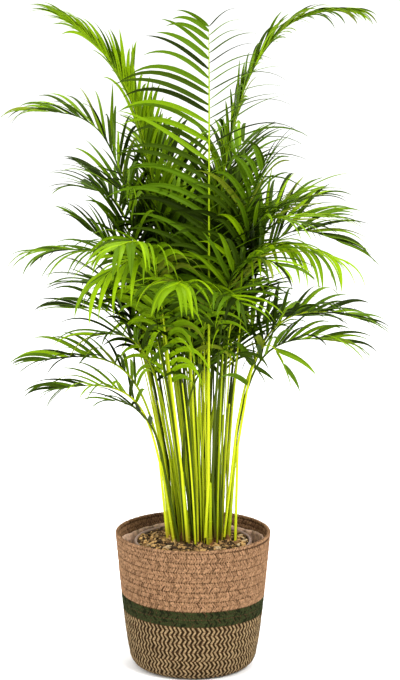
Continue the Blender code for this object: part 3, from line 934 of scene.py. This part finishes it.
def chip_points(rng, middle, size):
    """Eight corners of each chip: a box with uneven corners, tipped at random."""
    corners = np.array([(x, y, z) for x in (-1, 1) for y in (-1, 1) for z in (-1, 1)]) / 2
    shape = corners * size[:, None] * rng.uniform(*CHIP_UNEVEN, (len(middle), CHIP_CORNERS, 3))
    turn = rng.uniform(0, FULL_TURN, len(middle))
    tip = rng.normal(0, CHIP_TIP, len(middle))
    x, y, z = np.moveaxis(shape, -1, 0)
    x, z = spun(x, z, tip)
    x, y = spun(x, y, turn)
    return np.stack((x, y, z), axis=-1) + middle[:, None]


def cane_foot(index):
    """Where a cane stands on the soil."""
    reach = math.sqrt((index + 0.5) / CANE_COUNT)
    turn = math.radians(GOLDEN_ANGLE * index)
    x = CLUMP_CENTRE[0] + CLUMP_HALF_WIDTH * reach * math.cos(turn)
    y = CLUMP_CENTRE[1] + CLUMP_HALF_DEPTH * reach * math.sin(turn)
    return np.array((x, y, SOIL_TOP + CLEARANCE))


def clump_slope(away, lean):
    """Sideways run for each metre up: away from the clump's middle, and a little to the left."""
    tilt = math.tan(math.radians(CANE_LEAN)) / CLUMP_HALF_DEPTH
    return away * (lean * tilt) + (math.tan(math.radians(CLUMP_LEAN)), 0.0)


def cane_direction(index):
    """The canes lean outwards, the outer ones more, and the whole clump leans a little left."""
    away = cane_foot(index)[:2] - np.array(CLUMP_CENTRE)
    return unit(np.append(clump_slope(away, 1.0), 1.0))


def cane_top(index):
    height = CANE_HEIGHTS[index % len(CANE_HEIGHTS)]
    direction = cane_direction(index)
    return cane_foot(index) + direction * height / direction[2]


def cane_length(index):
    return np.linalg.norm(cane_top(index) - cane_foot(index))


def cane_frame(index):
    """The cane's direction, and two unit vectors square to it."""
    up = cane_direction(index)
    side = unit(np.cross((0.0, 1.0, 0.0), up))
    return up, side, np.cross(up, side)


def cane_points(index, rng):
    """A cane's core: a flared foot, joints with scars, and a top narrowed for its stalks."""
    tall = cane_length(index)
    joints = [FIRST_JOINT]
    while joints[-1] < tall:
        joints.append(joints[-1] + rng.uniform(*JOINT_SPACING))
    joints = np.array(joints[:-1])
    around_joints = joints[:, None] + np.array(JOINT_SECTIONS)
    even = np.linspace(-CANE_SINK, tall, CANE_SECTIONS)
    heights = np.unique(np.append(even, around_joints).clip(-CANE_SINK, tall))
    radius = np.interp(heights / tall, *CANE_CORE)
    from_joint = heights[:, None] - joints
    for size, reach, place in (JOINT_BULGE, JOINT_GROOVE):
        radius += (size * np.exp(-(((from_joint - place) / reach) ** 2))).sum(axis=1)
    heights = np.append(heights, tall + CANE_TIP)
    radius = np.append(radius, 0.0)
    up, side, back = cane_frame(index)
    return tube(cane_foot(index) + heights[:, None] * up, radius, side, back, CANE_SIDES)


def add_canes():
    """The canes, dealt out over the three stem colours, of which the dark one is painted shade."""
    rng = np.random.default_rng(CANE_SEED)
    colours = list(STEM_TONES)
    canes = []
    for index in range(CANE_COUNT):
        colour = colours[index % len(colours)]
        canes.append((colour, cane_points(index, rng), f"cane_{index + 1:02d}"))
    add_stems("cane", canes)


def add_shoots():
    """Thin young stems between the canes. They lean like the canes and end in the foliage."""
    rng = np.random.default_rng(SHOOT_SEED)
    colours = list(STEM_TONES)
    east, north = np.eye(3)[:2]
    share = np.linspace(0, 1, SHOOT_POINTS)[:, None]
    shoots = []
    for index in range(SHOOT_COUNT):
        reach = SHOOT_SPREAD * math.sqrt(rng.random())
        heading = rng.uniform(0, FULL_TURN)
        x = CLUMP_HALF_WIDTH * math.cos(heading)
        y = CLUMP_HALF_DEPTH * math.sin(heading)
        away = np.array((x, y)) * reach
        foot = np.append(away + CLUMP_CENTRE, SOIL_TOP - CANE_SINK)
        tall = rng.uniform(*SHOOT_TOPS) - SOIL_TOP
        bend = SHOOT_BEND[0] + SHOOT_BEND[1] * share
        sideways = clump_slope(away, SHOOT_LEAN) * tall * share * bend
        middle = foot + np.concatenate((sideways, tall * share), axis=1)
        radius = rng.uniform(*SHOOT_RADII) * (1 - SHOOT_TAPER * share[:, 0])
        rings = tube(middle, radius, east, north, RIB_SIDES)
        # A third of the shoots take the dark tone, which is painted shade
        shoots.append((colours[index % len(colours)], rings, ""))
    add_stems("shoot", shoots)


def add_sheaths():
    """Dry leaf sheaths that cling round the foot of each cane, with ragged tops."""
    rng = np.random.default_rng(SHEATH_SEED)
    share = np.linspace(0, 1, SHEATH_ROWS)[:, None]
    span = np.linspace(-1, 1, SHEATH_COLUMNS)[None, :]
    sheaths = []
    for index in range(CANE_COUNT):
        up, side, back = cane_frame(index)
        for _ in range(rng.integers(*SHEATHS_PER_CANE)):
            tall = rng.uniform(*SHEATH_HEIGHTS)
            slant = SHEATH_SLANT * np.abs(span) ** SLANT_POWER
            ragged = 1 - slant - SHEATH_FRAY * rng.random((1, SHEATH_COLUMNS))
            heights = share * tall * ragged - SHEATH_SINK
            flare = SHEATH_FLARE * share**FLARE_POWER * rng.random()
            radius = SHEATH_RADIUS - SHEATH_TAPER * share + flare
            middle = rng.uniform(0, FULL_TURN)
            turn = middle + span * rng.uniform(*SHEATH_SPANS) * (1 - SHEATH_NARROWING * share)
            ring = side * np.cos(turn)[..., None] + back * np.sin(turn)[..., None]
            sheaths.append(cane_foot(index) + heights[..., None] * up + radius[..., None] * ring)
    sheaths = np.array(sheaths)
    pick = rng.random(len(sheaths))
    sorts = ("brown", pick < BROWN_SHARE, BROWN_SHEATH), ("tan", pick >= BROWN_SHARE, TAN_SHEATH)
    for name, chosen, grain in sorts:
        points = sheaths[chosen]
        material = mottled_material(f"{name}_sheath", grain)
        add_piece(f"palm_{name}_sheaths", points, grid_faces(points), material)


def all_fronds():
    """The named fronds, then the tiers that fill the crown."""
    fronds = list(FRONDS)
    for prefix, canes, first, turn, reach, height, rise, *shape in TIERS:
        for place, cane in enumerate(canes):
            wave = 1 + REACH_WAVE * math.sin(REACH_WAVE_STEP * place + cane)
            name = f"{prefix}_{place + 1}"
            heading = first + turn * place
            tip = height + rise * place
            fronds.append(Frond(name, cane, heading, reach * wave, tip, *shape))
    return fronds


def stalk_feet(fronds):
    """Each frond's foot on top of its cane. The stalks of one cane stand round its middle."""
    feet = {}
    for index in range(CANE_COUNT):
        sharing = [i for i, frond in enumerate(fronds) if frond.cane == index]
        sharing.sort(key=lambda i: fronds[i].heading)
        turns = np.array([math.radians(fronds[i].heading) for i in sharing])
        middle = math.atan2(np.sin(turns).mean(), np.cos(turns).mean())
        reach = STALK_SPREAD if len(sharing) > 1 else 0.0
        up = cane_direction(index)
        for place, i in enumerate(sharing):
            spread = FULL_TURN * (place - (len(sharing) - 1) / 2) / max(len(sharing), 2)
            aside = np.array((math.cos(middle + spread), math.sin(middle + spread), 0.0))
            aside -= up * (aside @ up)
            feet[i] = cane_top(index) + aside * reach + up * 2 * CLEARANCE
    return [feet[i] for i in range(len(fronds))]


def grow(frond, foot):
    """The frond's centre line: a Bezier curve up along the cane and over to the tip."""
    heading, lean = math.radians(frond.heading), math.radians(frond.tip_lean)
    outward = np.array((math.cos(heading), math.sin(heading), 0.0))
    tip = cane_foot(frond.cane) + outward * frond.reach
    tip[2] = frond.height
    start = cane_direction(frond.cane) + outward * math.tan(math.radians(STALK_LEAN))
    rise = tip[2] - foot[2]
    chord = np.linalg.norm(tip - foot)
    climb = foot + start * frond.upright * rise
    back = tip - (outward * math.sin(lean) - DOWN * math.cos(lean)) * frond.pull * chord
    t = np.linspace(0, 1, CURVE_SAMPLES)[:, None]
    fine = (
        foot * (1 - t) ** 3
        + climb * 3 * t * (1 - t) ** 2
        + back * 3 * t**2 * (1 - t)
        + tip * t**3
    )
    run = distances(fine)
    return values_at(np.linspace(0, run[-1], STATIONS), run, fine)


def stalk_radius(share):
    return STALK_RADIUS + (TIP_RADIUS - STALK_RADIUS) * share**TAPER_POWER


def closest(a0, a1, b0, b1):
    """Nearest points of many pairs of segments: places along each, and the vector between them."""
    u, v, w = a1 - a0, b1 - b0, a0 - b0
    a, b, c = (u * u).sum(-1), (u * v).sum(-1), (v * v).sum(-1)
    d, e = (u * w).sum(-1), (v * w).sum(-1)
    cross = np.maximum(a * c - b * b, NEARLY_PARALLEL)
    s = np.clip((b * e - c * d) / cross, 0, 1)
    t = np.clip((b * s + e) / c, 0, 1)
    s = np.clip((b * t - d) / a, 0, 1)
    return s, t, w + s[..., None] * u - t[..., None] * v


def relax(fronds, lines):
    """Pushes stalks and ribs clear of each other and of the canes. Feet and canes stay put."""
    canes = [np.linspace(cane_foot(i), cane_top(i), STATIONS) for i in range(CANE_COUNT)]
    lines = np.concatenate((lines, canes))
    line_cane = np.array([frond.cane for frond in fronds] + list(range(CANE_COUNT)))
    owner = np.repeat(np.arange(len(lines)), STATIONS - 1)
    place = np.tile(np.arange(STATIONS - 1), len(lines))
    radii = stalk_radius(place / (STATIONS - 1))
    radii[owner >= len(fronds)] = CANE_TOP_RADIUS
    first, second = np.triu_indices(len(owner), 1)
    same_foot = (line_cane[owner[first]] == line_cane[owner[second]]) & (place[first] == 0)
    paired = (owner[first] != owner[second]) & (owner[first] < len(fronds)) & ~same_foot
    first, second = first[paired], second[paired]
    wanted = radii[first] + radii[second] + RELAX_GAP
    along = np.arange(STATIONS)
    for _ in range(RELAX_ROUNDS):
        starts, ends = lines[:, :-1].reshape(-1, 3), lines[:, 1:].reshape(-1, 3)
        longest = np.linalg.norm(ends - starts, axis=1).max()
        near = np.linalg.norm(starts[first] - starts[second], axis=1) < 2 * longest + wanted.max()
        i, j = first[near], second[near]
        s, t, between = closest(starts[i], ends[i], starts[j], ends[j])
        gap = np.linalg.norm(between, axis=1)
        lack = wanted[near] - gap
        if lack.max() <= 0:
            break
        shift = np.zeros_like(lines)
        for k in np.flatnonzero(lack > 0):
            away = between[k] if gap[k] > TINY else np.cross(ends[i[k]] - starts[i[k]], (0, 0, 1))
            push = (lack[k] / 2 + RELAX_PUSH) * away / np.linalg.norm(away)
            for segment, share, sign in ((i[k], s[k], 1), (j[k], t[k], -1)):
                fall = np.exp(-(((along - place[segment] - share) / RELAX_SPREAD) ** 2))
                moved = sign * fall[:, None] * push
                row = shift[owner[segment]]
                stronger = np.linalg.norm(moved, axis=1) > np.linalg.norm(row, axis=1)
                row[stronger] = moved[stronger]
        shift[:, 0] = 0
        shift[len(fronds) :] = 0
        lines = lines + shift
    return lines[: len(fronds)]


def smoothed(line):
    """A Catmull-Rom curve through the line's points."""
    padded = np.vstack((2 * line[0] - line[1], line, 2 * line[-1] - line[-2]))
    t = np.arange(RIB_SAMPLES)[:, None] / RIB_SAMPLES
    pieces = []
    for before, start, end, after in zip(padded, padded[1:], padded[2:], padded[3:]):
        pieces.append(
            start
            + (end - before) * t / 2
            + (2 * before - 5 * start + 4 * end - after) * t**2 / 2
            + (3 * start - before - 3 * end + after) * t**3 / 2
        )
    return np.vstack((*pieces, line[-1:]))


def side_vectors(line, outward, roll):
    """Unit vectors along, across and above the line at each point."""
    along = unit(np.gradient(line, axis=0))
    flat = np.array((-outward[1], outward[0], 0.0))
    across = unit(flat - (along @ flat)[:, None] * along)
    above = np.cross(along, across)
    turn = math.radians(roll)
    return (
        along,
        across * math.cos(turn) + above * math.sin(turn),
        above * math.cos(turn) - across * math.sin(turn),
    )


def plume_of(frond):
    """A frond's own plume, or its tier's, or the plain one."""
    tier = frond.name.rstrip("_0123456789")
    return PLUMES.get(frond.name, PLUMES.get(tier, Plume()))


def rib_points(frond, line, rng):
    """A stalk and rib as a tube, from the stalk's base along its cane to the rib's thin end."""
    curve = smoothed(line)
    run = distances(curve)
    end = run[-1] - plume_of(frond).end
    thinning = np.interp(run, (end - RIB_THIN_LENGTH, end), (1.0, RIB_THIN_SHARE))
    radius = stalk_radius(run / run[-1]) * thinning
    kept = run < end
    reach = cane_length(frond.cane) * rng.uniform(*STALK_BASE_SHARE)
    below = np.linspace(reach, 0, STALK_BASE_POINTS, endpoint=False)
    aside = line[0] - cane_top(frond.cane)
    aside = aside / max(np.linalg.norm(aside), TINY) * STALK_BASE_FLARE
    base = line[0] + (aside - cane_direction(frond.cane)) * below[:, None]
    base_radius = STALK_RADIUS + (STALK_BASE_RADIUS - STALK_RADIUS) * below / reach
    points = np.vstack((base, curve[kept]))
    radius = np.concatenate((base_radius, radius[kept]))
    radius[-1] = RIB_END_RADIUS
    _, across, above = side_vectors(points, line[-1] - line[0], frond.roll)
    return tube(points, radius, across, above, RIB_SIDES, RIB_TOP_FLATNESS)


def rib_tone(frond, pick):
    """Which stem colour a frond has: sunny ones are lime, painted light, and the rest are dealt
    out, the dark tone being painted shade.
    """
    plume = plume_of(frond)
    if plume.rib:
        return plume.rib
    if plume.tints in (BRIGHTLY_LIT, SUNNY):
        return "lime"
    if pick < PAINTED_SHADE_RIB_SHARE:
        return "dark"
    return "green" if pick < PAINTED_SHADE_RIB_SHARE + GREEN_RIB_SHARE else "lime"


def add_ribs(fronds, lines):
    """Stalks and ribs in three colours. They stand for the fronds' blades."""
    rng = np.random.default_rng(RIB_SEED)
    ribs = []
    for frond, line in zip(fronds, lines):
        rings = rib_points(frond, line, rng)
        ribs.append((rib_tone(frond, rng.random()), rings, f"frond_{frond.name}"))
    add_stems("rib", ribs)


def leaflet_points(rng, base, direction, width_way, length, width, droop, edge_on):
    """Leaflets as grids of points: (leaflet, 12, 5, 3). Each bends down as it goes out.

    The blade is narrow at its base, widest near a fifth of its length, and long pointed. Its two
    halves fold down from the middle, less towards the tip.
    """
    count = len(base)
    share = np.linspace(0, 1, LEAFLET_ROWS)
    sway = rng.normal(0, LEAFLET_SWAY, (count, 1))
    twist = rng.normal(0, LEAFLET_TWIST, count) / LEAFLET_ROWS
    place, heading, across = base, direction, width_way
    across = unit(across - (across * heading).sum(-1, keepdims=True) * heading)
    above = np.cross(heading, across)
    across = across * np.cos(edge_on)[:, None] + above * np.sin(edge_on)[:, None]
    middle, sides, tops = [], [], []
    step = (length / (LEAFLET_ROWS - 1))[:, None]
    for i in range(LEAFLET_ROWS):
        middle.append(place)
        sides.append(across)
        tops.append(np.cross(across, heading))
        place = place + heading * step
        pull = (droop * DROOP_GROWTH * (share[i] + DROOP_START) / LEAFLET_ROWS)[:, None]
        heading = unit(heading + DOWN * pull + across * sway / LEAFLET_ROWS)
        across = unit(across - (across * heading).sum(-1, keepdims=True) * heading)
        across = unit(across + np.cross(heading, across) * twist[:, None])
    middle, sides, tops = (np.stack(values, axis=1) for values in (middle, sides, tops))
    outline = np.interp(share, *LEAFLET_OUTLINE)
    fold = np.radians(np.interp(share, *LEAFLET_FOLD))
    half = (width[:, None] / 2 * outline)[..., None, None]
    across = np.array(LEAFLET_ACROSS)[None, None, :, None]
    down = np.abs(across) ** LEAFLET_CUP * np.sin(fold)[None, :, None, None]
    out = across * np.cos(fold)[None, :, None, None]
    return middle[:, :, None] + half * (sides[:, :, None] * out - tops[:, :, None] * down)


def plume_leaflets(frond, line, rng):
    """All the leaflets of one frond, in pairs along its rib, closing towards its tip."""
    plume = plume_of(frond)
    curve = smoothed(line)
    run = distances(curve)
    first, last = plume.start * run[-1], run[-1] - plume.end
    room = (last - first) / (LEAFLET_SPACING * plume.spacing)
    pairs = max(FEWEST_PAIRS, round(room))
    count = 2 * pairs
    side = np.tile((1.0, -1.0), pairs)
    stagger = np.where(side > 0, 0.0, LEAFLET_STAGGER) * LEAFLET_SPACING
    place = np.repeat(np.linspace(first, last, pairs), 2) + stagger
    place = (place + rng.normal(0, LEAF_PLACE_DRIFT, count)).clip(first, last)
    share = (place - first) / (last - first)
    base = values_at(place, run, curve)
    tangent, sideways, upward = (
        unit(values_at(place, run, way))
        for way in side_vectors(curve, line[-1] - line[0], frond.roll)
    )
    angles = (plume.open_angle, plume.close_angle + CLOSING_LEAD, plume.close_angle)
    angle = np.radians(np.interp(share, ANGLE_PLACES, angles))
    angle += rng.normal(0, math.radians(ANGLE_DRIFT), count)
    lift = np.radians(plume.lift + rng.normal(0, LIFT_DRIFT, count))
    out = sideways * (side * np.cos(lift))[:, None] + upward * np.sin(lift)[:, None]
    direction = tangent * np.cos(angle)[:, None] + out * np.sin(angle)[:, None]
    places, lengths = LEAFLET_LENGTHS
    length = frond.half_width * LEAFLET_LENGTH * plume.length
    length = length * np.interp(share, places, (*lengths, plume.tip))
    length *= 1 + rng.normal(0, LENGTH_DRIFT, count)
    width = LEAFLET_WIDTH * plume.width * np.interp(share, *LEAFLET_WIDTHS)
    width *= 1 + rng.normal(0, LEAF_WIDTH_DRIFT, count)
    droop = plume.droop * (1 + rng.normal(0, DROOP_DRIFT, count)).clip(LEAST_DROOP, None)
    edge_on = np.radians(np.where(side > 0, *plume.edge_on))
    width_way = tangent * side[:, None]
    grids = leaflet_points(rng, base, direction, width_way, length, width, droop, edge_on)
    return grids, rng.choice(len(LEAF_TINTS), count, p=plume.tints)


def add_leaflets(fronds, lines):
    """All the leaflets, joined by tint. Each tint is one plain colour."""
    rng = np.random.default_rng(LEAF_SEED)
    grids, tints = zip(*(plume_leaflets(frond, line, rng) for frond, line in zip(fronds, lines)))
    grids, tints = np.concatenate(grids), np.concatenate(tints)
    for index, (name, (colour, roughness)) in enumerate(LEAF_TINTS.items()):
        chosen = grids[tints == index]
        faces = grid_faces(chosen)
        material = plain_material(f"leaf_{name}", colour, roughness, LEAF_SPECULAR)
        add_piece(f"palm_{name}_leaflets", chosen, faces, material, crease=LEAFLET_CREASE)


def add_lamp(name, place, width, watts):
    lamp = bpy.data.lights.new(name, "AREA")
    lamp.shape = "DISK"
    lamp.size = width
    lamp.energy = watts
    item = add_object(name, lamp)
    item.location = place
    item.rotation_euler = (Vector(LAMP_TARGET) - Vector(place)).to_track_quat("-Z", "Y").to_euler()


def add_stage():
    """A plain pale floor under soft white light."""
    bpy.ops.mesh.primitive_plane_add(size=FLOOR_SIZE)
    floor = bpy.context.object
    floor.name = "floor"
    floor.data.materials.append(plain_material("floor_paint", *FLOOR_PAINT))

    world = bpy.data.worlds.new("studio")
    world.use_nodes = True
    background = world.node_tree.nodes["Background"]
    background.inputs["Color"].default_value = (*WHITE, 1.0)
    background.inputs["Strength"].default_value = WORLD_LIGHT
    bpy.context.scene.world = world
    for lamp in LAMPS:
        add_lamp(*lamp)
    bpy.context.scene.view_settings.view_transform = "Standard"
    bpy.context.scene.view_settings.look = "Medium High Contrast"


def add_camera():
    lens = bpy.data.cameras.new("camera")
    lens.sensor_width = SENSOR_SIZE
    lens.lens = CAMERA_LENS
    lens.clip_end = VIEW_RANGE
    camera = add_object("camera", lens)
    camera.location = CAMERA_PLACE
    camera.rotation_euler = (math.radians(90 - CAMERA_PITCH), 0.0, 0.0)
    bpy.context.scene.camera = camera


def main():
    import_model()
    add_camera()
    add_stage()
    add_basket()
    add_lining()
    add_pot()
    add_soil()
    add_canes()
    add_shoots()
    add_sheaths()
    fronds = all_fronds()
    feet = stalk_feet(fronds)
    lines = relax(fronds, np.array([grow(frond, foot) for frond, foot in zip(fronds, feet)]))
    add_ribs(fronds, lines)
    add_leaflets(fronds, lines)


main()
